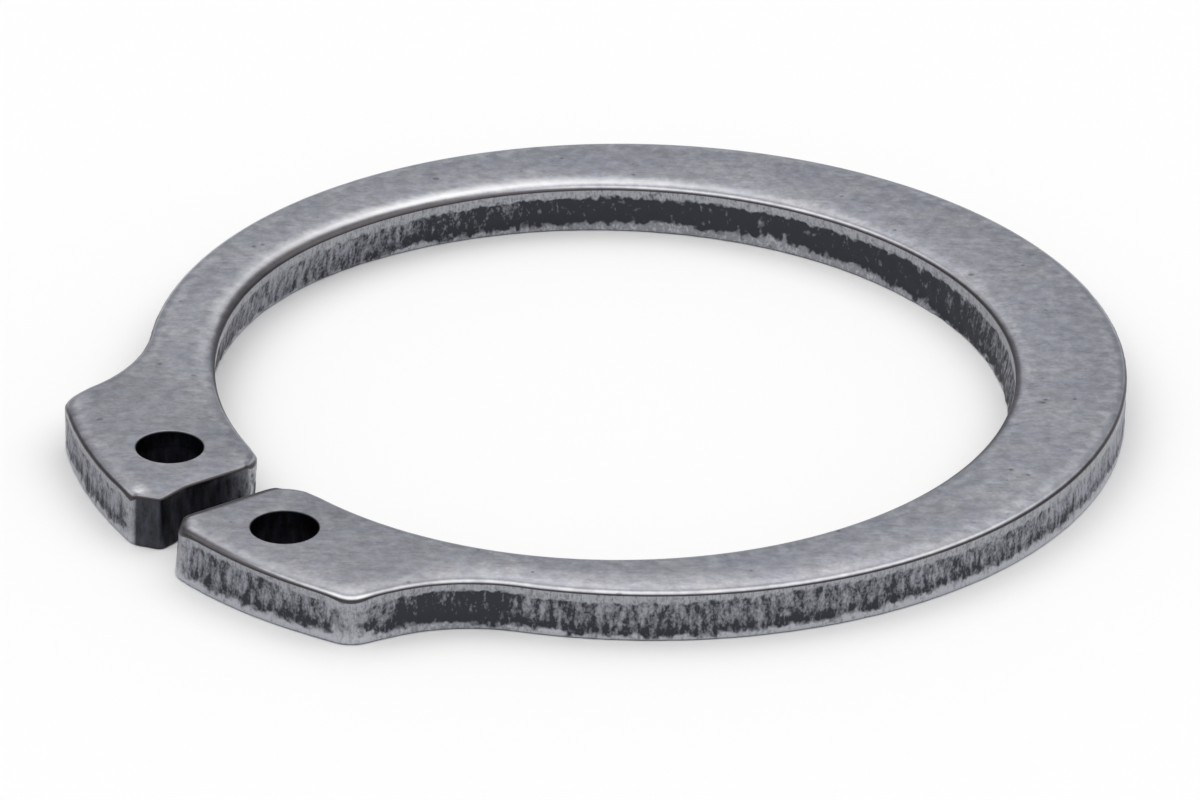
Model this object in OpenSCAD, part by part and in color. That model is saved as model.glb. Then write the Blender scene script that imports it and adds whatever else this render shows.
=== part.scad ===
// External retaining ring, heavy type, for a 32 mm shaft.
// One stamping of spring steel: a C-shaped beam that tapers towards two drilled lugs.
// The bore axis is Z, the lower face lies on Z = 0 and the gap opens towards -Y.

/* [Beam] */
// Free diameter of the bore, which springs into the shaft's groove
bore_d = 29.6; // [26:0.1:34]
// Thickness of the strip
thickness = 2; // [1.2:0.1:3]
// Width of the beam opposite the gap
beam_w = 4.4; // [3.6:0.1:5.4]
// Distance between the bore's axis and the axis of the beam's outer edge
beam_shift = 1.1; // [0.6:0.05:1.5]

/* [Lugs] */
// Clear width of the gap between the lugs
gap_w = 1.75; // [1.25:0.05:3]
// Height of a lug from the bore to its outer edge
lug_h = 5.6; // [5:0.1:7]
// Width of a lug from the gap to its side, at the height of its hole
lug_w = 8.5; // [7.5:0.1:10]
// Slant of a lug's side from the gap's direction, in degrees
lug_slant = 9.5; // [0:0.5:20]
// Radius of the hollow blend from a lug's side to the beam
blend_r = 6.5; // [4:0.5:9]
// Radius of a lug's outer corner on the beam side
side_corner_r = 1; // [0.6:0.1:1.6]
// Radius of the second lug's outer corner at the gap
gap_corner_r = 0.9; // [0.5:0.1:1.4]
// Radius of the lugs' corners between the gap and the bore
seat_corner_r = 1.7; // [1.2:0.1:2.2]

/* [Plier holes] */
// Diameter of the hole in each lug
hole_d = 2.5; // [1.6:0.1:3]
// Distance of a hole's centre from the gap's side of the lug
hole_inset = 2.8; // [2.2:0.05:3.4]
// Distance of a hole's centre from the lug's outer edge
hole_depth = 2.8; // [2.2:0.05:3.2]

/* [Sheared corner] */
// Length of the flat on the first lug's outer corner at the gap
chip_flat = 0.95; // [0.4:0.05:1.6]
// Angle of that flat across the gap's direction, in degrees
chip_angle = 32; // [15:1:50]
// How far the flat's end stands out into the gap
chip_lean = 0.25; // [0.05:0.05:0.4]

/* [Edges] */
// How far the rolled upper edge reaches in from the wall
roll_w = 0.45; // [0.2:0.05:0.6]
// How far the rolled upper edge reaches down the wall
roll_h = 0.16; // [0.05:0.01:0.3]
// Radius of the tumbled lower edge
foot_r = 0.1; // [0.05:0.01:0.2]
// Width of the soft rim round each plier hole
rim_w = 0.12; // [0.05:0.01:0.2]

/* [Hidden] */
steel = [0.56, 0.57, 0.60];

bore_r = bore_d / 2;
beam_r = bore_r + beam_w - beam_shift;
beam_c = [0, beam_shift];
lug_r = bore_r + lug_h;
gap_x = gap_w / 2;

// Longest facet on a long arc, and the most that a short arc turns per facet
facet = 1.1;
turn = 13;
// Steps in the profile of the rolled edge and of the tumbled edge
roll_steps = 4;
foot_steps = 2;
// Overshoot of the cutting tools past the faces
past = 1;

// The plier holes lie on one circle round the bore's axis
hole_r = lug_r - hole_depth;
hole_x = gap_x + hole_inset;
hole_y = -sqrt(hole_r * hole_r - hole_x * hole_x);

function unit(v) = v / norm(v);
function mirrored(points) = [for (i = [len(points) - 1:-1:0]) [-points[i][0], points[i][1]]];
function bearing(v) = atan2(v[1], v[0]);

// Points on an arc from angle a0 to a1, both ends included
function arc(c, r, a0, a1) =
    let (n = max(2, ceil(abs(a1 - a0) / turn), ceil(abs(a1 - a0) * PI / 180 * r / facet)))
    [for (i = [0:n]) let (a = a0 + (a1 - a0) * i / n) c + r * [cos(a), sin(a)]];

// Point where the line through p along d lies at distance r from c, past p in d's direction
function reach(p, d, c, r) =
    let (q = p - c, b = q * d, disc = b * b - q * q + r * r)
    p + d * (-b + sqrt(disc));

// The corner between the gap and the bore cuts a little into the bore, which leaves a faint point
seat_bite = 0.15;
seat_x = gap_x + seat_corner_r;
seat_span = bore_r + seat_corner_r - seat_bite;
seat_c = [seat_x, -sqrt(seat_span * seat_span - seat_x * seat_x)];

// The lug's side is a slanted line, with its outward normal
side_dir = [sin(lug_slant), cos(lug_slant)];
side_out = [cos(lug_slant), -sin(lug_slant)];
side_at = [gap_x + lug_w, hole_y];

// Centres of the corner and of the blend, each tangent to the side and to its circle
corner_c = reach(side_at - side_corner_r * side_out, -side_dir, [0, 0], lug_r - side_corner_r);
blend_c = reach(side_at + blend_r * side_out + lug_h * side_dir, -side_dir, beam_c, beam_r + blend_r);
blend_end = bearing(beam_c - blend_c);

// Centre of the rounded corner between the gap and the lug's outer edge
tip_span = lug_r - gap_corner_r;
tip_x = gap_x + gap_corner_r;
tip_c = [tip_x, -sqrt(tip_span * tip_span - tip_x * tip_x)];

// The edge from the lug's outer arc to the back of the beam, on the +X side
function flank(a_start) = concat(
    arc([0, 0], lug_r, a_start, bearing(corner_c)),
    arc(corner_c, side_corner_r, bearing(corner_c), -lug_slant),
    arc(blend_c, blend_r, 180 - lug_slant, blend_end),
    arc(beam_c, beam_r, bearing(blend_c - beam_c), 90)
);
seat_corner = arc(seat_c, seat_corner_r, bearing(-seat_c), 180);

// Second lug, at +X, with a rounded corner at the gap
right_half = concat(
    seat_corner,
    arc(tip_c, gap_corner_r, 180, bearing(tip_c) + 360),
    flank(bearing(tip_c))
);

// First lug, at -X, whose corner was sheared off and leans into the gap
chip_x = gap_x - chip_lean;
flat_x = chip_x + chip_flat * cos(chip_angle);
flat_y = -sqrt(lug_r * lug_r - flat_x * flat_x);
chip_y = flat_y + chip_flat * sin(chip_angle);
lean_y = chip_y + 4 * chip_lean;
left_half = concat(
    seat_corner,
    [[gap_x, lean_y], [chip_x, chip_y]],
    flank(bearing([flat_x, flat_y]))
);

// The whole outline, anticlockwise from one side of the gap to the other, each point once
function distinct(p) = [for (i = [0:len(p) - 1]) if (i == 0 || norm(p[i] - p[i - 1]) > 0.02) p[i]];
outline = distinct(concat(right_half, mirrored(left_half)));
count = len(outline);

// Outward normal at each point, lengthened at a corner so that the edge keeps its width
function edge_out(a, b) = let (d = unit(b - a)) [d[1], -d[0]];
normals = [for (i = [0:count - 1])
    let (
        before = edge_out(outline[max(i - 1, 0)], outline[max(i, 1)]),
        after = edge_out(outline[min(i, count - 2)], outline[min(i + 1, count - 1)]),
        mid = unit(before + after)
    ) mid / (mid * after)];

// Section of the edge, from the lower face to the upper: how far in, and how high
edge = concat(
    [for (i = [0:foot_steps]) let (a = 90 * i / foot_steps) foot_r * [1 - sin(a), 1 - cos(a)]],
    [for (i = [0:roll_steps]) let (a = 90 * i / roll_steps)
        [roll_w * (1 - cos(a)), thickness - roll_h * (1 - sin(a))]]
);
rows = len(edge);

// The blank's inner side runs just inside the bore and turns round at the lugs
core_r = bore_r - seat_bite;
core_turn = 14;
function polar(p) = (bearing(p) + 450) % 360;
function core_at(a) = core_r * [sin(a), -cos(a)];
angles = [for (p = outline) min(max(polar(p), core_turn), 360 - core_turn)];

// Blank: the outline with its rolled and tumbled edges, before the bore and the holes
module blank() {
    walls = [for (p = [0:count - 1]) for (e = edge)
        let (q = outline[p] - normals[p] * e[0]) [q[0], q[1], e[1]]];
    core_low = [for (a = angles) concat(core_at(a), 0)];
    core_top = [for (a = angles) concat(core_at(a), thickness)];
    low = count * rows;
    top = low + count;
    last = count - 1;
    side_faces = [for (i = [0:last - 1]) for (k = [0:rows - 2]) let (a = i * rows + k, b = a + rows)
        each [[a, a + 1, b + 1], [a, b + 1, b]]];
    top_faces = [for (i = [0:last - 1]) let (a = i * rows + rows - 1, b = a + rows)
        each [[a, top + i, b], if (angles[i] != angles[i + 1]) [top + i, top + i + 1, b]]];
    low_faces = [for (i = [0:last - 1]) let (a = i * rows, b = a + rows)
        each [[a, b, low + i], if (angles[i] != angles[i + 1]) [b, low + i + 1, low + i]]];
    core_faces = [for (i = [0:last - 1]) if (angles[i] != angles[i + 1])
        each [[low + i, low + i + 1, top + i + 1], [low + i, top + i + 1, top + i]]];
    first_end = concat(
        [for (k = [0:rows - 2]) [top, k + 1, k]],
        [[top, 0, low]]
    );
    last_end = concat(
        [for (k = [0:rows - 2]) [top + last, last * rows + k, last * rows + k + 1]],
        [[top + last, low + last, last * rows]]
    );
    polyhedron(
        points = concat(walls, core_low, core_top),
        faces = concat(side_faces, top_faces, low_faces, core_faces, first_end, last_end),
        convexity = 6
    );
}

// Half section of a tool that cuts a round hole and rounds both of its edges
module hole_section(r, low_r, wide, high) {
    top_edge = [for (i = [0:roll_steps]) let (a = 90 * i / roll_steps)
        [r + wide * (1 - cos(a)), thickness - high * (1 - sin(a))]];
    low_edge = [for (i = [0:foot_steps]) let (a = 90 * i / foot_steps)
        [r + low_r * (1 - sin(a)), low_r * (1 - cos(a))]];
    polygon(concat(
        [[0, -past], [r + low_r, -past]],
        low_edge,
        top_edge,
        [[r + wide, thickness + past], [0, thickness + past]]
    ));
}

module bore_tool() {
    rotate_extrude($fn = 180) hole_section(bore_r, foot_r, roll_w, roll_h);
}

module plier_hole_tool() {
    rotate_extrude($fn = 48) hole_section(hole_d / 2, foot_r, rim_w, rim_w);
}

module retaining_ring() {
    color(steel)
        difference() {
            blank();
            bore_tool();
            for (side = [-1, 1])
                translate([side * hole_x, hole_y, 0]) plier_hole_tool();
        }
}

retaining_ring();
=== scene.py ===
"""Heavy external retaining ring for a 32 mm shaft, lying on its flat face."""

import math

import bpy
import numpy as np
from mathutils import Matrix, Vector
from mathutils.geometry import delaunay_2d_cdt


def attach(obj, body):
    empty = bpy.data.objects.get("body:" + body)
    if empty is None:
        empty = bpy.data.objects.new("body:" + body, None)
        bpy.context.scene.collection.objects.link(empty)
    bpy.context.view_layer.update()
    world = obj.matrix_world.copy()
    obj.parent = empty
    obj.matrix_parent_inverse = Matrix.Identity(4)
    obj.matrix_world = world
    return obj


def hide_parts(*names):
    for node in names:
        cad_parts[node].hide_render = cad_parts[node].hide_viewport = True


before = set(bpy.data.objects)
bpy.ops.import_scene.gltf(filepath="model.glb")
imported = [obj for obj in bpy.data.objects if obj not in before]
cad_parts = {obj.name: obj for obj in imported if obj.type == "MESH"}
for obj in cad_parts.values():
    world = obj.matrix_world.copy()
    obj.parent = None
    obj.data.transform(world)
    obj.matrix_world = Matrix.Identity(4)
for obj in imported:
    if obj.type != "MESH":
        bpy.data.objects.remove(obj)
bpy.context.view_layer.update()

# The blank's outline
# A blanking die stamps the whole ring out of spring-steel strip in one blow: the beam, its two
# lugs and the gap. Every length here is in millimetres, as on the ring's drawing.
BORE_R = 14.8
THICKNESS = 2.03
BEAM_R = 18.1
BEAM_C = np.array([0.0, 1.1])
LUG_R = 20.4
GAP_X = 0.875
HOLE_C = np.array([3.675, -17.212])
LUG_SIDE_X = 9.375
LUG_SLANT = math.radians(9.5)
BLEND_R = 6.5
SIDE_CORNER_R = 1.05
TIP_R = 0.9
# The toe rounds a lug from the gap into the bore, and bites a little into the bore's circle
TOE_R = 1.7
TOE_BITE = 0.15
# The sheared tip leans into the gap and ends in a flat of that length and angle
CHIP_LEAN = 0.34
CHIP_FLAT = 1.13
CHIP_ANGLE = math.radians(35)
# Tumbling takes the sharpness off every corner over about this length
TUMBLED = 0.1
# Distance between the outline's points
STEP = 0.115


def bearing(v):
    return math.atan2(v[1], v[0])


def arc(centre, radius, start, end):
    count = max(3, int(abs(end - start) * radius / STEP))
    angle = np.linspace(start, end, count)
    return centre + radius * np.column_stack([np.cos(angle), np.sin(angle)])


def reach(point, direction, centre, radius):
    """Point on the line through point, ahead of it, at that radius from centre."""
    offset = point - centre
    along = offset @ direction
    return point + direction * (math.sqrt(along * along - offset @ offset + radius * radius) - along)


def on_circle(x, radius):
    return np.array([x, -math.sqrt(radius * radius - x * x)])


side_dir = np.array([math.sin(LUG_SLANT), math.cos(LUG_SLANT)])
side_out = np.array([math.cos(LUG_SLANT), -math.sin(LUG_SLANT)])
side_at = np.array([LUG_SIDE_X, HOLE_C[1]])
axis = np.zeros(2)
corner_c = reach(side_at - SIDE_CORNER_R * side_out, -side_dir, axis, LUG_R - SIDE_CORNER_R)
blend_c = reach(side_at + BLEND_R * side_out + BLEND_R * side_dir, -side_dir, BEAM_C, BEAM_R + BLEND_R)
toe_c = on_circle(GAP_X + TOE_R, BORE_R + TOE_R - TOE_BITE)
tip_c = on_circle(GAP_X + TIP_R, LUG_R - TIP_R)

# Where the toe's arc comes out of the bore
toe_span = np.linalg.norm(toe_c)
toe_cut = math.acos((toe_span ** 2 + BORE_R ** 2 - TOE_R ** 2) / (2 * toe_span * BORE_R))
toe_angle = bearing(toe_c) - toe_cut
toe_point = BORE_R * np.array([math.cos(toe_angle), math.sin(toe_angle)])
toe = arc(toe_c, TOE_R, bearing(toe_point - toe_c), math.pi)


def flank(start):
    """From the lug's outer edge, round its corner and the hollow blend, to the back of the beam."""
    return np.vstack([
        arc(axis, LUG_R, start, bearing(corner_c)),
        arc(corner_c, SIDE_CORNER_R, bearing(corner_c), -LUG_SLANT),
        arc(blend_c, BLEND_R, math.pi - LUG_SLANT, bearing(BEAM_C - blend_c)),
        arc(BEAM_C, BEAM_R, bearing(blend_c - BEAM_C), math.pi / 2),
    ])


# The +X lug has a rounded tip at the gap, and the -X lug's tip was sheared off when the ring
# was cut from the strip, which left a small flat and a tongue that leans into the gap
whole = np.vstack([toe, arc(tip_c, TIP_R, math.pi, bearing(tip_c) + 2 * math.pi), flank(bearing(tip_c))])
chip_x = GAP_X - CHIP_LEAN
flat_end = on_circle(chip_x + CHIP_FLAT * math.cos(CHIP_ANGLE), LUG_R)
chip_y = flat_end[1] + CHIP_FLAT * math.sin(CHIP_ANGLE)
tongue = [[GAP_X, chip_y + 4 * CHIP_LEAN], [chip_x, chip_y]]
sheared = np.vstack([toe, tongue, flank(bearing(flat_end))])
bore = arc(axis, BORE_R, math.pi - toe_angle, toe_angle)
loop = np.vstack([whole, sheared[::-1] * [-1, 1], bore])


def even(points, step):
    """The closed loop again, with its points the same distance apart."""
    closed = np.vstack([points, points[:1]])
    length = np.concatenate([[0], np.cumsum(np.linalg.norm(np.diff(closed, axis=0), axis=1))])
    at = np.linspace(0, length[-1], int(length[-1] / step) + 1)[:-1]
    return np.column_stack([np.interp(at, length, closed[:, k]) for k in (0, 1)])


def blur_gain(points, step, size):
    """How much a Gaussian blur of that size leaves of each wave round a loop of points."""
    turn = np.fft.fftfreq(points, step) * 2 * math.pi
    return np.exp(-0.5 * (turn * size) ** 2)


def soften(values, size):
    """Gaussian blur round the closed outline, along the first axis."""
    shape = (-1,) + (1,) * (values.ndim - 1)
    gain = blur_gain(len(values), STEP, size).reshape(shape)
    return np.fft.ifft(np.fft.fft(values, axis=0) * gain, axis=0).real


outline = even(soften(even(loop, STEP), TUMBLED), STEP)
count = len(outline)
chord = np.roll(outline, -1, axis=0) - np.roll(outline, 1, axis=0)
heading = chord / np.linalg.norm(chord, axis=1)[:, None]
outward = np.column_stack([heading[:, 1], -heading[:, 0]])
# How sharply the outline turns, per millimetre: above nought at outside corners
BEND_SIZE = 0.35
BEND_LEAST = -0.3
BEND_MOST = 1.2
before, after = np.roll(heading, 1, axis=0), np.roll(heading, -1, axis=0)
bend = np.arcsin(np.clip(before[:, 0] * after[:, 1] - before[:, 1] * after[:, 0], -1, 1)) / (2 * STEP)
bend = np.clip(soften(bend, BEND_SIZE), BEND_LEAST, BEND_MOST)
# 1 at the bore and 0 at the outer edge
BORE_BAND = 0.3
radius = np.linalg.norm(outline, axis=1)
in_bore = soften((radius < BORE_R + BORE_BAND).astype(float), 0.5)
outer = 1 - in_bore
# The angle round the ring, from the gap's middle towards the +X lug
phi = np.arctan2(outline[:, 0], -outline[:, 1])


def humps(*parts):
    """Humps round the ring, each with its height and, in degrees, its place and its width."""
    total = np.zeros(count)
    for tall, place, width in parts:
        apart = (np.degrees(phi) - place + 180) % 360 - 180
        total += tall * np.exp(-0.5 * (apart / width) ** 2)
    return total


# The free ring isn't quite round inside: hardening let its arms move a little, in waves under
# a tenth of a millimetre and one stronger bulge on the left
drift = 0.072 * np.sin(phi) + 0.089 * np.cos(2 * phi) + 0.066 * np.sin(2 * phi) + 0.052 * np.sin(3 * phi)
drift += humps((0.2, -68, 15))
outline = outline * (1 + in_bore * drift / radius)[:, None]
x, y = outline[:, 0], outline[:, 1]

# The sheared walls
# Shearing leaves three bands down the wall: a rolled edge where the strip was dragged in, a
# bright burnished band, and a torn, darker one whose foot is burnished again in patches.
FOOT_R = 0.1
# Rows of points round the tumbled lower edge, at those shares of the wall's height, and over
# the rolled edge
FOOT_ROWS = 3
WALL_SHARES = [k / 16 for k in range(16)] + [0.965, 0.983]
ROLL_ROWS = 8
rng = np.random.default_rng(32)


def ragged(rows, along, across=None):
    """Even noise round the loop, rows deep, with features of those sizes in millimetres."""
    noise = soften(rng.standard_normal((count, rows)), along)
    if across:
        gain = blur_gain(rows, THICKNESS / rows, across)
        noise = np.fft.ifft(np.fft.fft(noise, axis=1) * gain, axis=1).real
    return noise / noise.std()


def bell(distance, width):
    """1 at no distance, fading out over about that width."""
    return np.exp(-((distance / width) ** 2))


def past(values, slope):
    """0 below nought and 1 above it, with a slope that wide between them."""
    return np.clip(values / slope + 0.5, 0, 1)


# The gap's two faces and the sheared flat were cut in a second blow, which rolled their edges less
LUG_FACE = 0.9
FLAT_DEPTH = 0.3
in_gap = (np.abs(x) < GAP_X + 0.1) & (radius > BORE_R + LUG_FACE) & (y < 0)
at_flat = (x < 0) & (x > 0.1 - flat_end[0]) & (y < chip_y + FLAT_DEPTH)
second_blow = (in_gap | at_flat).astype(float)
cut = np.clip(1.2 * soften(second_blow, 0.12), 0, 1)

# How far the rolled edge reaches in from the wall and down it, and how much an outside corner
# adds to both. It is widest on two sides of the bore and at the whole tip
ROLL_IN = 0.24
ROLL_DOWN = 0.09
CORNER_ROLL = 0.2
corner_roll = CORNER_ROLL * np.maximum(bend, 0) * (1 - cut)
whole_tip = (x > 0) * outer * humps((1, 5, 7))
roll_w = (ROLL_IN + corner_roll) * (1 - 0.5 * cut)
roll_w += in_bore * humps((0.13, -72, 24), (0.065, 128, 26)) + 0.1 * whole_tip
roll_h = (ROLL_DOWN + corner_roll) * (1 - 0.45 * cut)

# The burnished band's height. The punch stood a little off centre in the bore, so there the
# band grows to one side and the torn wall leans
BURNISHED = 0.27
BORE_BURNISHED = 0.36
LEAST_BURNISHED = 0.08
burnish = outer * (BURNISHED + 0.05 * ragged(1, 2.5)[:, 0])
burnish += in_bore * (BORE_BURNISHED + 0.08 * np.cos(phi - math.radians(110)) + humps((0.1, -86, 22)))
# The hollow blends tore sooner, and were rubbed less
hollow_side = outer * np.clip(-7 * soften(bend, 0.36), 0, 0.85)
burnish = np.maximum(burnish - 0.1 * hollow_side, LEAST_BURNISHED)
LEAN = 0.4
lean = in_bore * np.maximum(LEAN * np.cos(phi + math.radians(65)) - 0.09, -0.24)
lean -= outer * humps((0.16, 10, 9)) + 0.05 * cut * (x < 0)

# The height of the foot that is burnished again
FOOT_HEIGHT = 0.32
BORE_FOOT_HEIGHT = 0.3
foot = outer * (FOOT_HEIGHT + 0.06 * ragged(1, 1.2)[:, 0])
foot += in_bore * (BORE_FOOT_HEIGHT + humps((0.25, -150, 20), (-0.25, 150, 35), (-0.2, -78, 24)))
foot += 0.05 * ragged(1, 0.3)[:, 0]
# Outside corners take the knocks in the tumbling barrel, which wears the torn band away there
worn = outer * np.clip(1.3 * soften(np.maximum(bend, 0), 0.22) - 0.08, 0, 0.9)

# Behind the rolled edge the face falls off gently, over about a millimetre
CROWN = 0.11
CROWN_REACH = 0.5
crown = CROWN * (1 + in_bore * humps((0.3, -98, 32)) - outer * humps((0.5, 5, 6)))
crown *= 1 - 0.5 * np.clip(1.2 * soften(second_blow, 0.8), 0, 1)
wall_z = THICKNESS - crown - roll_h

# Rows of points lead round the tumbled lower edge, up the wall and over the rolled edge
rows_in, rows_z = [], []
for k in range(FOOT_ROWS):
    turn = 0.5 * math.pi * k / FOOT_ROWS
    rows_in.append(np.full(count, FOOT_R * (1 - math.sin(turn))))
    rows_z.append(np.full(count, FOOT_R * (1 - math.cos(turn))))
for share in WALL_SHARES:
    rows_in.append(np.zeros(count))
    rows_z.append(FOOT_R + (wall_z - FOOT_R) * share)
for k in range(ROLL_ROWS + 1):
    turn = 0.5 * math.pi * k / ROLL_ROWS
    rows_in.append(roll_w * (1 - math.cos(turn)))
    fall = crown * np.exp(-rows_in[-1] / CROWN_REACH)
    rows_z.append(THICKNESS - fall - roll_h * (1 - math.sin(turn)))
inset = np.column_stack(rows_in)
height = np.column_stack(rows_z)
rows = inset.shape[1]
wall_top = FOOT_ROWS + len(WALL_SHARES)

# The torn band starts at the crack under the burnished band and leans below it, with a coarse
# relief. Finer scores run down the wall from a little above the crack
TORN_DEPTH = 0.028
TORN_RELIEF = 0.016
SCORE_DEPTH = 0.004
SCORED_OVER = 0.3
crack = (wall_z - burnish)[:, None]
torn = past(crack - height, 0.2) * past(height - foot[:, None], 0.3) * (1 - worn[:, None])
inset += lean[:, None] * np.clip((crack - height) / crack, 0, 1)
inset += torn * (TORN_DEPTH + TORN_RELIEF * ragged(rows, 0.16, 0.14))
inset += SCORE_DEPTH * ragged(1, 0.12) * (height < crack + SCORED_OVER)

# How much lighter the torn band is, partly rubbed by the tumbling and partly painted light where the wall
# faces the light:
# least in the bore, and nearly none of it just above the foot
rubbed_light = in_bore * (humps((1.1, -72, 27), (0.75, 145, 24)) - 0.6)
rubbed_light += outer * (0.3 + humps((0.35, 135, 22), (0.25, -18, 16))) - 0.65 * hollow_side
dark_low = (0.4 - in_bore * humps((0.35, -66, 20)))[:, None]
rub = rubbed_light[:, None] + 0.12 - dark_low * bell(height - foot[:, None] - 0.2, 0.22)
# Painted light: the wall is lighter towards its foot, against the table's shade that the foot reflects
foot_painted_light = np.clip((0.6 - height) / 0.4, 0, 1)
# Dark specks are left in the burnished foot, fewest where the tumbling rubbed most
speckle = 0.17 * np.clip((0.65 - height) / 0.3, 0, 1) * (0.2 - rub)

# Painted shade and painted dark reflection: a dark line along the crease above the wall, wider on some
# stretches where the rolled edge faces sideways, in a second fine line on others, and a painted contact
# shadow where the ring touches the table
CREASE = 0.03
CREASE_MORE = 0.11
SECOND_LINE_AT = 0.19
SECOND_LINE = 0.04
sideways = in_bore * humps((1.5, 134, 36), (3, -72, 26))
sideways += outer * humps((0.9, -18, 24), (0.7, 128, 24)) + 1.6 * whole_tip
crease = (CREASE + CREASE_MORE * sideways)[:, None]
on_roll = height > wall_z[:, None] - 0.02
edge_shade = 0.9 * np.exp(-((inset / crease) ** 4)) * on_roll
second_line_shade = (in_bore * humps((1, -160, 34)) + outer * humps((1, 55, 40)))[:, None]
edge_shade += 0.4 * second_line_shade * bell(inset - SECOND_LINE_AT, SECOND_LINE) * on_roll
edge_shade += 0.6 * bell(height, 0.05)

# Painted shade: the narrow gap's faces and the sheared flat are painted nearly black, a
# little less of it towards the bore and on the flat
FILM_THINS_AT = -16.9
film = np.clip(1.25 * soften(second_blow, 0.08), 0, 1)
film *= 1 - 0.3 * np.clip((y - FILM_THINS_AT) / 1.2, 0, 1)
on_flat = (x < 0.05 - chip_x) & (x > -flat_end[0] - 0.05) & (y < chip_y + 0.05)
film *= 1 - 0.08 * soften(on_flat.astype(float), 0.06)
# The same mark darkens the lugs' outer walls a little too
film += outer * (1 - cut) * humps((0.2, -20, 11), (0.1, 9, 9))


LUG_DARK = 0.17
LUG_DARK_FROM = 13.0
LUG_DARK_GROWS_OVER = 2


def lug_darkening(across_y):
    """How much darker the lugs' upper face is made, growing towards the lugs' ends."""
    return LUG_DARK * np.clip((-across_y - LUG_DARK_FROM) / LUG_DARK_GROWS_OVER, 0, 1)


# Tumbling polishes a line along the rolled edge, and a painted highlight lies on it, most at corners. Past
# that line a broad painted highlight lightens the face over half a millimetre, most where it faces the
# light
LINE_AT = 0.09
LINE = 0.04
GLOW_AT = 0.4
GLOW_NEAR = 0.15
GLOW_FAR = 0.36
corner_glint = bell(np.hypot(x + flat_end[0], y - flat_end[1]), 0.4)
broad_highlight = in_bore * (0.15 + humps((0.9, -96, 30))) + outer * (0.2 + 0.3 * worn)
broad_highlight = broad_highlight * (1 - 0.8 * cut) + corner_glint
polish = np.clip(0.5 + worn + corner_glint, 0, 1)[:, None] * bell(inset - LINE_AT, LINE) * on_roll
polish += broad_highlight[:, None] * bell(inset - GLOW_AT, GLOW_NEAR) * on_roll

# Far from the wall the edge follows the outline's broader turns, so it never folds over itself
BROAD = 0.38
BROAD_AT = 0.3
broad = soften(outward, BROAD)
broad /= np.linalg.norm(broad, axis=1)[:, None]
broadly = np.clip(inset / BROAD_AT, 0, 1)[:, :, None]
inward = outward[:, None, :] * (1 - broadly) + broad[:, None, :] * broadly
loops = outline[:, None, :] - inward * inset[:, :, None]
# More rings of points lead on into the faces, one below and two above, closer in the bends
RING_BELOW = 0.3
RINGS_ABOVE = (0.15, 0.34)
room_in = np.clip(1 - 1.3 * soften(np.abs(bend), 0.5), 0.12, 1)[:, None]

vertices, quads, sheared_face = [], [], []
# What each point tells the finish: how torn it is, how much painted shade and other darkening it holds, how
# much it was rubbed and painted lighter, its polish and painted highlight, how far into the foot's painted
# light it is, and its specks
fields = {name: [] for name in ("torn", "edge_line", "film", "rubbed", "polish", "foot", "speckle")}


def add_ring(points, heights, **values):
    """Adds one closed row of points with their values, and returns where it starts."""
    start = sum(len(v) for v in vertices)
    vertices.append(np.column_stack([points, np.broadcast_to(heights, len(points))]))
    for name, stored in fields.items():
        stored.append(np.broadcast_to(values.get(name, 0.0), len(points)))
    return start


def bridge(low, high, size, sheared_wall, flip=False):
    """Faces between two rows, the second above the first as seen from outside."""
    a = np.arange(size)
    b = (a + 1) % size
    band = np.column_stack([low + a, low + b, high + b, high + a])
    quads.append(band[:, ::-1] if flip else band)
    sheared_face.append(np.full(size, sheared_wall))


starts = [add_ring(loops[:, 0] - broad * room_in * RING_BELOW, 0.0)]
for k in range(rows):
    on_wall = 1.0 if k <= wall_top else 1 - (k - wall_top) / ROLL_ROWS
    dark = film * on_wall + lug_darkening(y) * (1 - on_wall)
    starts.append(add_ring(
        loops[:, k], height[:, k], torn=torn[:, k], edge_line=edge_shade[:, k], film=dark,
        rubbed=rub[:, k], polish=polish[:, k], foot=foot_painted_light[:, k], speckle=speckle[:, k],
    ))
for distance in RINGS_ABOVE:
    starts.append(add_ring(loops[:, -1] - broad * room_in * distance, THICKNESS))
for k in range(len(starts) - 1):
    bridge(starts[k], starts[k + 1], count, 1 <= k <= wall_top)

# The plier holes
# Both holes are punched through the lugs with a small round punch, with the same bands on
# their walls and a faint soft rim on the upper face.
HOLE_R = 1.22
RIM = 0.06
RIM_TOP = THICKNESS - RIM
HOLE_POINTS = 120
HOLE_ROWS = 12
# The heights between which a hole's wall is torn, and that band's relief
HOLE_TORN = (0.25, 1.35)
HOLE_RELIEF = 0.012
# Angles round the lower edge and the rim, with how much painted shade each row of points holds
FOOT_TURNS = ((0, 0.0), (0.5, 0.0), (1.0, 1.0))
RIM_TURNS = ((0.4, 1.0), (0.8, 0.9), (1.2, 0.6), (1.5708, 0.0))
hole_turn = np.linspace(0, 2 * math.pi, HOLE_POINTS, endpoint=False)
hole_unit = np.column_stack([np.cos(hole_turn), np.sin(hole_turn)])
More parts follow.
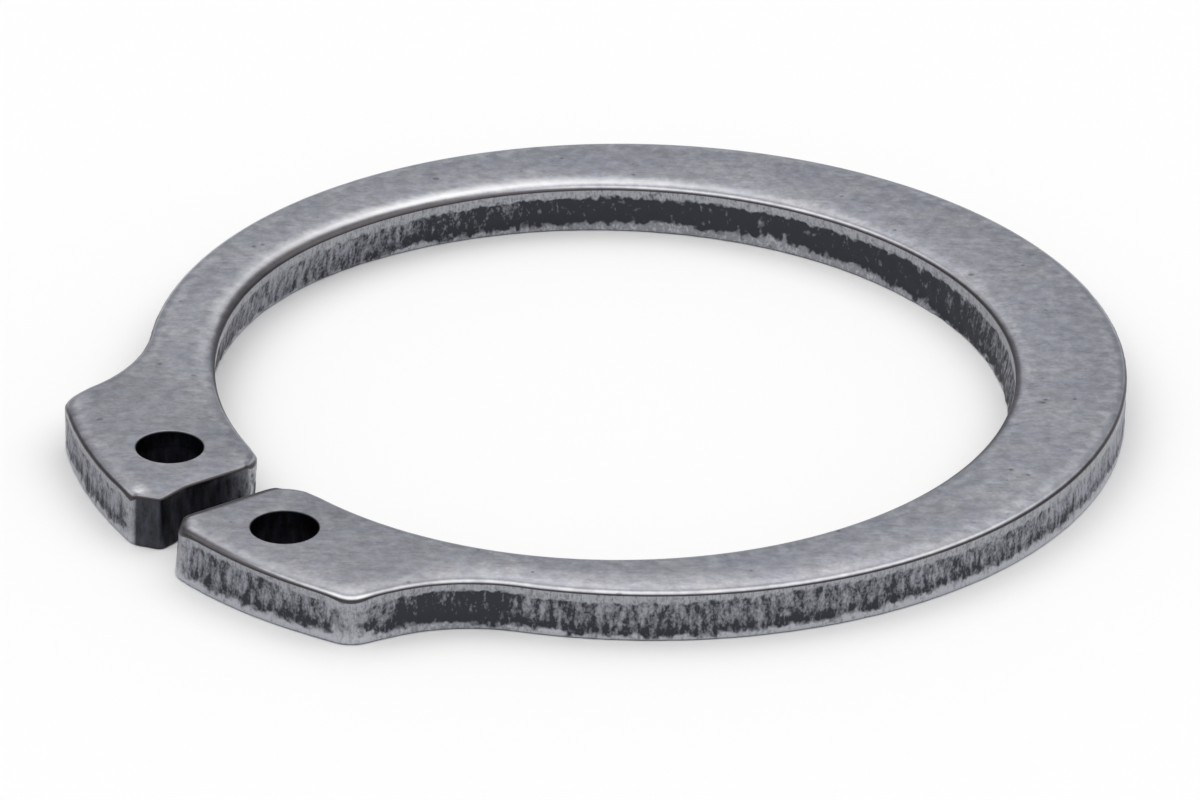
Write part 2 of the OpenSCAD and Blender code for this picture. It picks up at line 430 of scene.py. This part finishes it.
# Each row's radius, height, share of torn wall and share of painted shade, from the lower face up
profile = [(HOLE_R + 0.35, 0.0, 0.0, 0.0)]
for turn, dark in FOOT_TURNS:
    profile.append((HOLE_R + FOOT_R * (1 - math.sin(turn)), FOOT_R * (1 - math.cos(turn)), 0.0, dark))
for z in np.linspace(FOOT_R, RIM_TOP, HOLE_ROWS):
    profile.append((HOLE_R, z, float(HOLE_TORN[0] < z < HOLE_TORN[1]), 1.0))
for turn, dark in RIM_TURNS:
    profile.append((HOLE_R + RIM * (1 - math.cos(turn)), THICKNESS - RIM * (1 - math.sin(turn)), 0.0, dark))
profile += [(HOLE_R + RIM + 0.04, THICKNESS, 0.0, 0.0), (HOLE_R + 0.4, THICKNESS, 0.0, 0.0)]
hole_rims = []
for side in (-1, 1):
    centre = HOLE_C * [side, 1]
    rings = []
    for r, z, torn_here, dark in profile:
        wobble = HOLE_RELIEF * torn_here * rng.standard_normal(HOLE_POINTS)
        rings.append(add_ring(centre + (r + wobble)[:, None] * hole_unit, z, torn=torn_here, film=dark))
        if len(rings) > 1:
            bridge(rings[-2], rings[-1], HOLE_POINTS, dark == 1.0 and z <= RIM_TOP, flip=True)
    hole_rims.append((rings[0], rings[-1]))

# The faces
# The strip was rolled flat and then tumbled, so its faces are flat with a very slight wave.
# They are closed by triangles between the rings of points.
MM = 1000.0
GRID = 0.3
GRID_ROW = 0.866 * GRID
GRID_CLEAR = 0.55 * GRID
# Small nicks that the rings knocked into one another in the barrel: where, and how far across
NICKS = [
    ((11.34, 11.04), 0.07), ((11.48, 11.12), 0.09), ((11.35, 11.33), 0.08), ((14.89, 6.86), 0.09),
    ((-10.57, -10.71), 0.08), ((-9.33, -13.87), 0.07), ((-15.35, -5.59), 0.07),
]
NICK_DEPTH = 0.007
NICK_SHADE = 0.8
# A nick gets a patch of closer points, and the coarser ones stay clear of it
PATCH_R = 0.28
PATCH_GRID = 0.04
PATCH_CLEAR = 0.34
# Points handled at once, so that a table of their distances fits in memory
BLOCK = 400
triangles = []


def blocks(indices):
    return np.array_split(indices, len(indices) // BLOCK + 1)


def inside(points, ring):
    """Which points lie inside the closed ring."""
    a, b = ring, np.roll(ring, -1, axis=0)
    rise = np.where(b[:, 1] == a[:, 1], 1e-12, b[:, 1] - a[:, 1])
    slope = (b[:, 0] - a[:, 0]) / rise
    result = np.zeros(len(points), bool)
    for block in blocks(np.arange(len(points))):
        at_x, at_y = points[block, 0][:, None], points[block, 1][:, None]
        crosses = (a[:, 1] > at_y) != (b[:, 1] > at_y)
        passed = crosses & (at_x < a[:, 0] + (at_y - a[:, 1]) * slope)
        result[block] = passed.sum(axis=1) % 2 == 1
    return result


def clear_of(points, ring, gap):
    """Which points keep that gap from the ring's points."""
    keep = np.ones(len(points), bool)
    for block in blocks(np.arange(len(points))):
        apart = points[block][:, None, :] - ring[None, :, :]
        keep[block] = (apart ** 2).sum(axis=2).min(axis=1) > gap * gap
    return keep


def close_face(outer_start, hole_starts, z, upper):
    """Fills a face between its outer ring and its two holes."""
    flat = np.vstack(vertices)[:, :2]
    rings = [np.arange(outer_start, outer_start + count)]
    rings += [np.arange(s, s + HOLE_POINTS) for s in hole_starts]
    grid_x = np.arange(-19, 19, GRID)
    grid_y = np.arange(-21, 20, GRID_ROW)
    shift = 0.5 * GRID
    grid = np.array([[at_x + shift * (j % 2), at_y] for j, at_y in enumerate(grid_y) for at_x in grid_x])
    grid = grid[inside(grid, flat[rings[0]])]
    for ring in rings:
        grid = grid[clear_of(grid, flat[ring], GRID_CLEAR)]
    for ring in rings[1:]:
        grid = grid[~inside(grid, flat[ring])]
    if upper:
        steps = np.arange(-PATCH_R, PATCH_R + 0.01, PATCH_GRID)
        patch = np.array([[a, b] for a in steps for b in steps if math.hypot(a, b) < PATCH_R])
        for place, size in NICKS:
            grid = np.vstack([grid[clear_of(grid, np.array([place]), PATCH_CLEAR)], place + patch])
    fresh = add_ring(grid, z)
    index = np.concatenate(rings + [np.arange(fresh, fresh + len(grid))])
    points = np.vstack([flat[ring] for ring in rings] + [grid])
    edges, base = [], 0
    for ring in rings:
        edges += [(base + k, base + (k + 1) % len(ring)) for k in range(len(ring))]
        base += len(ring)
    out = delaunay_2d_cdt([Vector(p) for p in points.tolist()], edges, [], 0, 1e-9, True)
    where = np.array([origin[0] for origin in out[3]])
    corners = where[np.array([list(f) for f in out[2]])]
    middle = points[corners].mean(axis=1)
    keep = inside(middle, points[:count])
    for ring in rings[1:]:
        keep &= ~inside(middle, flat[ring])
    corners = index[corners[keep]]
    a, b, c = (np.vstack(vertices)[corners[:, k], :2] for k in range(3))
    up = (b[:, 0] - a[:, 0]) * (c[:, 1] - a[:, 1]) - (b[:, 1] - a[:, 1]) * (c[:, 0] - a[:, 0]) > 0
    turned = up != upper
    corners[turned] = corners[turned][:, ::-1]
    triangles.append(corners)


close_face(starts[0], [first for first, last in hole_rims], 0.0, False)
close_face(starts[-1], [last for first, last in hole_rims], THICKNESS, True)

# The rolled strip's slight wave, which the light picks up on the satin face
WAVE = 0.002
position = np.vstack(vertices)
wave = sum(
    math.sin(k) * np.sin(position[:, 0] * (0.5 + 0.31 * k) + position[:, 1] * (0.9 - 0.37 * k) + 2.1 * k)
    for k in range(1, 6)
)
# The upper face's points fall off towards the edge, and take the lugs' darkening, the painted highlight and
# the nicks
level = np.flatnonzero(position[:, 2] > THICKNESS - 0.004)
polish_all = np.concatenate(fields["polish"])
edge_shade_all = np.concatenate(fields["edge_line"])
shade_and_darkening_all = np.concatenate(fields["film"])
shade_and_darkening_all[level] = np.maximum(shade_and_darkening_all[level], lug_darkening(position[level, 1]))
for block in blocks(level):
    apart = ((position[block, None, :2] - outline[None, :, :]) ** 2).sum(axis=2)
    near = apart.argmin(axis=1)
    edge_distance = np.sqrt(apart.min(axis=1))
    fade = np.where(edge_distance < GLOW_AT, GLOW_NEAR, GLOW_FAR)
    polish_all[block] += broad_highlight[near] * bell(edge_distance - GLOW_AT, fade)
    position[block, 2] -= crown[near] * np.exp(-edge_distance / CROWN_REACH)
    position[block, 2] += WAVE * (wave[block] * np.clip(edge_distance - 0.5, 0, 1) - 1)
for place, size in NICKS:
    hollow = bell(np.linalg.norm(position[level, :2] - place, axis=1), size)
    position[level, 2] -= NICK_DEPTH * hollow
    # Painted shade in each nick's hollow
    edge_shade_all[level] += NICK_SHADE * hollow
fields.update(polish=[polish_all], edge_line=[edge_shade_all], film=[shade_and_darkening_all])

faces = np.vstack(quads).tolist() + np.vstack(triangles).tolist()
wall_flags = np.concatenate(sheared_face + [np.zeros(sum(len(t) for t in triangles), bool)])
mesh = bpy.data.meshes.new("retaining_ring_blank")
mesh.from_pydata((position / MM).tolist(), [], faces)
mesh.polygons.foreach_set("use_smooth", np.ones(len(faces), bool))
mesh.polygons.foreach_set("material_index", wall_flags.astype(np.int32))
for name, values in fields.items():
    attribute = mesh.attributes.new(name, "FLOAT", "POINT")
    attribute.data.foreach_set("value", np.concatenate(values).astype(np.float32))
mesh.update()
ring = bpy.data.objects.new("ring_blank", mesh)
bpy.context.scene.collection.objects.link(ring)

# The steel's finish
# Hardened spring steel, tumbled with grit until satin. It is a bare metal, so its colour is
# all in its reflection; the torn band keeps a dark film of quenching oil and scale.
# Sockets of the node that mixes two colours
SHARE, UNDER, OVER = 0, 6, 7


def linear(hex_colour):
    """Linear colour of an sRGB hex value."""
    parts = [int(hex_colour[k:k + 2], 16) / 255 for k in (0, 2, 4)]
    return tuple(p / 12.92 if p <= 0.04045 else ((p + 0.055) / 1.055) ** 2.4 for p in parts) + (1.0,)


def add(tree, kind, settings, sockets):
    """Adds a node and returns its outputs. A socket is given a value, or the output that feeds it."""
    node = tree.nodes.new(kind)
    for name, value in settings.items():
        setattr(node, name, value)
    for name, value in sockets.items():
        if isinstance(value, bpy.types.NodeSocket):
            tree.links.new(value, node.inputs[name])
        else:
            node.inputs[name].default_value = value
    return node.outputs


def start_material(name):
    material = bpy.data.materials.new(name)
    material.use_nodes = True
    material.node_tree.nodes.clear()
    return material


def bare_steel(name, marks, patterns, turn, swings, colours, relief_mm, roughness):
    """A bare metal surface.

    The marks are the points' values that it shows. A pattern is noise of a size in millimetres,
    with its stretch along the axes, its detail and that detail's roughness. A swing shifts a mark
    up and down by weighted patterns. The colours are a base and its layers, each laid over the
    last where a field goes from its start to its full value, with its strength and its own
    colours. The roughness goes from its low to its high value between a field's start and full.
    """
    material = start_material(name)
    tree = material.node_tree
    field = {key: add(tree, "ShaderNodeAttribute", {"attribute_name": key}, {})["Fac"] for key in marks}
    place = add(tree, "ShaderNodeTexCoord", {}, {})["Object"]
    for key, (size, stretch, detail, detail_rough) in patterns.items():
        lay = {"Vector": place, "Rotation": turn, "Scale": stretch}
        laid = add(tree, "ShaderNodeMapping", {"vector_type": "TEXTURE"}, lay)[0]
        grain = {"Vector": laid, "Scale": MM / size, "Detail": detail, "Roughness": detail_rough}
        field[key] = add(tree, "ShaderNodeTexNoise", {}, grain)["Fac"]
    for key, (mark, weights) in swings.items():
        middle = {0: field[mark], 1: 0.5 * sum(weights.values())}
        total = add(tree, "ShaderNodeMath", {"operation": "SUBTRACT"}, middle)[0]
        for pattern, weight in weights.items():
            shift = {0: field[pattern], 1: weight, 2: total}
            total = add(tree, "ShaderNodeMath", {"operation": "MULTIPLY_ADD"}, shift)[0]
        field[key] = total

    def layered(base, layers=()):
        colour = linear(base)
        for source, start, full, strength, *over in layers:
            ends = {"Value": field[source], "From Min": start, "From Max": full, "To Max": strength}
            share = add(tree, "ShaderNodeMapRange", {}, ends)[0]
            mix = {SHARE: share, UNDER: colour, OVER: layered(*over)}
            colour = add(tree, "ShaderNodeMix", {"data_type": "RGBA"}, mix)[2]
        return colour

    source, start, full, low, high = roughness
    ends = {"Value": field[source], "From Min": start, "From Max": full, "To Min": low, "To Max": high}
    lift = {"Distance": relief_mm / MM, "Height": field["relief"]}
    surface = {
        "Metallic": 1.0,
        "Base Color": layered(*colours),
        "Roughness": add(tree, "ShaderNodeMapRange", {}, ends)[0],
        "Normal": add(tree, "ShaderNodeBump", {}, lift)[0],
    }
    shader = add(tree, "ShaderNodeBsdfPrincipled", {}, surface)[0]
    add(tree, "ShaderNodeOutputMaterial", {}, {"Surface": shader})
    return material


# Tumbled spring steel: satin grey with a blue cast, cloudy and mottled from the grit, with short
# hairlines that run one way and a few small dents. Real hairlines, a hundredth of a millimetre
# wide, are drawn as coarse as the smallest pattern that shows. Under a roughness of 0.28 the
# render's noise filter would take the steel for a mirror.
face_steel = bare_steel(
    "tumbled_spring_steel",
    marks=("polish", "film", "edge_line"),
    patterns={
        "cloud": (2.2, (1.5, 1, 1), 3.0, 0.55),
        "wisp": (0.8, (1.5, 1, 1), 4.0, 0.6),
        "mottle": (0.5, (1, 1, 1), 3.0, 0.55),
        "grain": (0.15, (1, 1, 1), 2.0, 0.6),
        "hairline": (0.16, (6, 1, 1), 2.0, 0.6),
        "dent": (0.4, (1, 1, 1), 0.0, 0.5),
    },
    turn=(0, 0, math.radians(53)),
    swings={
        "lit": ("polish", {"mottle": 0.5}),
        "relief": ("polish", {"hairline": 0.6, "mottle": 1.2, "grain": 0.5, "dent": 1.0}),
    },
    colours=("a8aab4", [
        ("cloud", 0.34, 0.66, 1.0, "b9bac1"),
        ("wisp", 0.64, 0.36, 0.2, "9ba0b5"),
        ("wisp", 0.36, 0.64, 0.2, "c6c2bd"),
        ("mottle", 0.62, 0.34, 0.34, "807e83"),
        ("grain", 0.65, 0.35, 0.26, "73747f"),
        ("hairline", 0.44, 0.34, 0.18, "63656e"),
        ("dent", 0.2, 0.14, 0.6, "5c5e66"),
        # Painted highlight along the rolled edges and at the sheared corner
        ("lit", 0.08, 1.0, 1.0, "ececef"),
        # Painted shade in the gap and the holes, and the lugs' darkening
        ("film", 0.0, 1.0, 1.0, "2e2e33"),
        # Painted shade: the dark line along the rolled edge, the wall's foot and the nicks
        ("edge_line", 0.0, 1.0, 1.0, "3b3638"),
    ]),
    relief_mm=0.005,
    roughness=("mottle", 0.3, 0.7, 0.29, 0.36),
)

# Sheared spring steel: a burnished light band with fine upright scores, and a torn charcoal band
# with upright fingers and lighter spots, partly rubbed and partly painted light. Its foot is burnished
# again and painted lighter, and what the second blow cut and the holes' walls are painted nearly black as
# shade. The scores are drawn coarser than real ones, so that they show.
wall_steel = bare_steel(
    "sheared_spring_steel",
    marks=("torn", "rubbed", "speckle", "foot", "film", "edge_line"),
    patterns={
        "fine": (0.09, (1, 1, 1.3), 2.0, 0.55),
        "lumps": (0.3, (1, 1, 1), 1.0, 0.5),
        "fingers": (0.27, (1, 1, 3.2), 1.0, 0.5),
        "streak": (0.16, (1, 1, 2.2), 2.0, 0.6),
        "scores": (0.05, (1, 1, 9), 2.0, 0.55),
    },
    turn=(0, 0, 0),
    swings={
        "ragged": ("torn", {"lumps": 1.8, "streak": 0.8}),
        "light": ("rubbed", {"fingers": 1.8, "streak": 1.7, "fine": 1.4}),
        "specks": ("speckle", {"streak": -0.5, "fine": -0.5}),
        "relief": ("torn", {"scores": 0.3, "streak": 0.5, "fine": 1.0}),
    },
    colours=("96979d", [
        ("scores", 0.35, 0.65, 1.0, "a7a9ae"),
        # Painted light towards the wall's foot, over the burnished colour
        ("foot", 0.0, 1.0, 1.0, "c0c2c9"),
        ("specks", -0.02, 0.12, 0.5, "505156"),
        # Lighter spots, partly rubbed and partly painted light
        ("ragged", 0.28, 0.72, 1.0, "424349", [("light", 0.05, 0.95, 1.0, "a3a4ac")]),
        # Painted shade in the gap and the holes, and the lugs' darker walls
        ("film", 0.0, 1.0, 1.0, "212125", [("fingers", 0.4, 0.7, 1.0, "343640")]),
        # Painted shade: the dark line along the rolled edge, and a painted contact shadow at the foot
        ("edge_line", 0.0, 1.0, 1.0, "3f3834"),
    ]),
    relief_mm=0.012,
    roughness=("ragged", 0.2, 0.8, 0.38, 0.60),
)

for material in (face_steel, wall_steel):
    ring.data.materials.append(material)
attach(ring, "root")
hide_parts("retaining_ring")

# The floor
# A pale table with matt paint, wide enough to fill the view from any side. The ring lies loose
# on it, and it isn't part of the ring.
TABLE_R = 4.0
TABLE_POINTS = 64
floor_mesh = bpy.data.meshes.new("table_top")
table_turns = [2 * math.pi * k / TABLE_POINTS for k in range(TABLE_POINTS)]
table_edge = [(TABLE_R * math.cos(turn), TABLE_R * math.sin(turn), 0.0) for turn in table_turns]
floor_mesh.from_pydata(table_edge, [], [list(range(TABLE_POINTS))])
floor = bpy.data.objects.new("table", floor_mesh)
bpy.context.scene.collection.objects.link(floor)
# Matt white paint, rolled on: it takes the light evenly and mirrors nothing
table_paint = start_material("white_matt_paint")
paint = add(table_paint.node_tree, "ShaderNodeBsdfDiffuse", {}, {"Color": linear("f3f3f4")})[0]
add(table_paint.node_tree, "ShaderNodeOutputMaterial", {}, {"Surface": paint})
floor_mesh.materials.append(table_paint)

# The light
# One large soft box hangs over the table, and a pale room fills the rest. Their levels are those
# at which the floor's paint and the steel render about as they are written.
BOX_SIDE = 3.0
BOX_HEIGHT = 1.25
BOX_TURN = math.radians(14)
BOX_LEVEL = 1.15
WALL_LEVEL = 0.75
CEILING_LEVEL = 0.385
# Where the walls' level starts to change into the ceiling's, and where it has, as the sine of
# the angle above the table
WALL_ENDS = 0.12
CEILING_STARTS = 0.36
soft_box = bpy.data.lights.new("soft_box", "AREA")
soft_box.shape = "SQUARE"
soft_box.size = BOX_SIDE
soft_box.energy = BOX_LEVEL * math.pi * BOX_SIDE ** 2
soft_box.color = linear("fffdf8")[:3]
lamp = bpy.data.objects.new("soft_box", soft_box)
lamp.location = (0, 0, BOX_HEIGHT)
lamp.rotation_euler = (0, 0, BOX_TURN)
bpy.context.scene.collection.objects.link(lamp)
room = bpy.data.worlds.new("pale_room")
room.use_nodes = True
room_tree = room.node_tree
room_tree.nodes.clear()
# The room's walls are lighter than its ceiling, which the ring's far rolled edges pick up
facing = add(room_tree, "ShaderNodeTexCoord", {}, {})["Generated"]
above = add(room_tree, "ShaderNodeSeparateXYZ", {}, {"Vector": facing})["Z"]
change = {"From Min": WALL_ENDS, "From Max": CEILING_STARTS, "To Min": WALL_LEVEL, "To Max": CEILING_LEVEL}
strength = add(room_tree, "ShaderNodeMapRange", {}, {"Value": above, **change})[0]
sky = add(room_tree, "ShaderNodeBackground", {}, {"Color": linear("f6f9ff"), "Strength": strength})[0]
add(room_tree, "ShaderNodeOutputWorld", {}, {"Surface": sky})
bpy.context.scene.world = room

# The camera
# A long lens looks down over the +X side with the lugs at the left, at the photograph's angle.
# It stands about 0.31 m from the ring, so the ring's far side shrinks as it does there.
EYE_MM = Vector((222.784, -167.242, 146.414))
AIM_MM = Vector((0.598, -1.032, 1.0))
LENS_MM = 255
ROLL = math.radians(1.131)
camera_data = bpy.data.cameras.new("camera")
camera_data.lens = LENS_MM
camera_data.sensor_width = 36
camera_data.clip_start = 0.01
camera = bpy.data.objects.new("camera", camera_data)
look = (AIM_MM - EYE_MM).to_track_quat("-Z", "Y").to_matrix().to_4x4()
camera.matrix_world = Matrix.Translation(EYE_MM / MM) @ look @ Matrix.Rotation(ROLL, 4, "Z")
bpy.context.scene.collection.objects.link(camera)
bpy.context.scene.camera = camera
bpy.context.scene.view_settings.view_transform = "Standard"
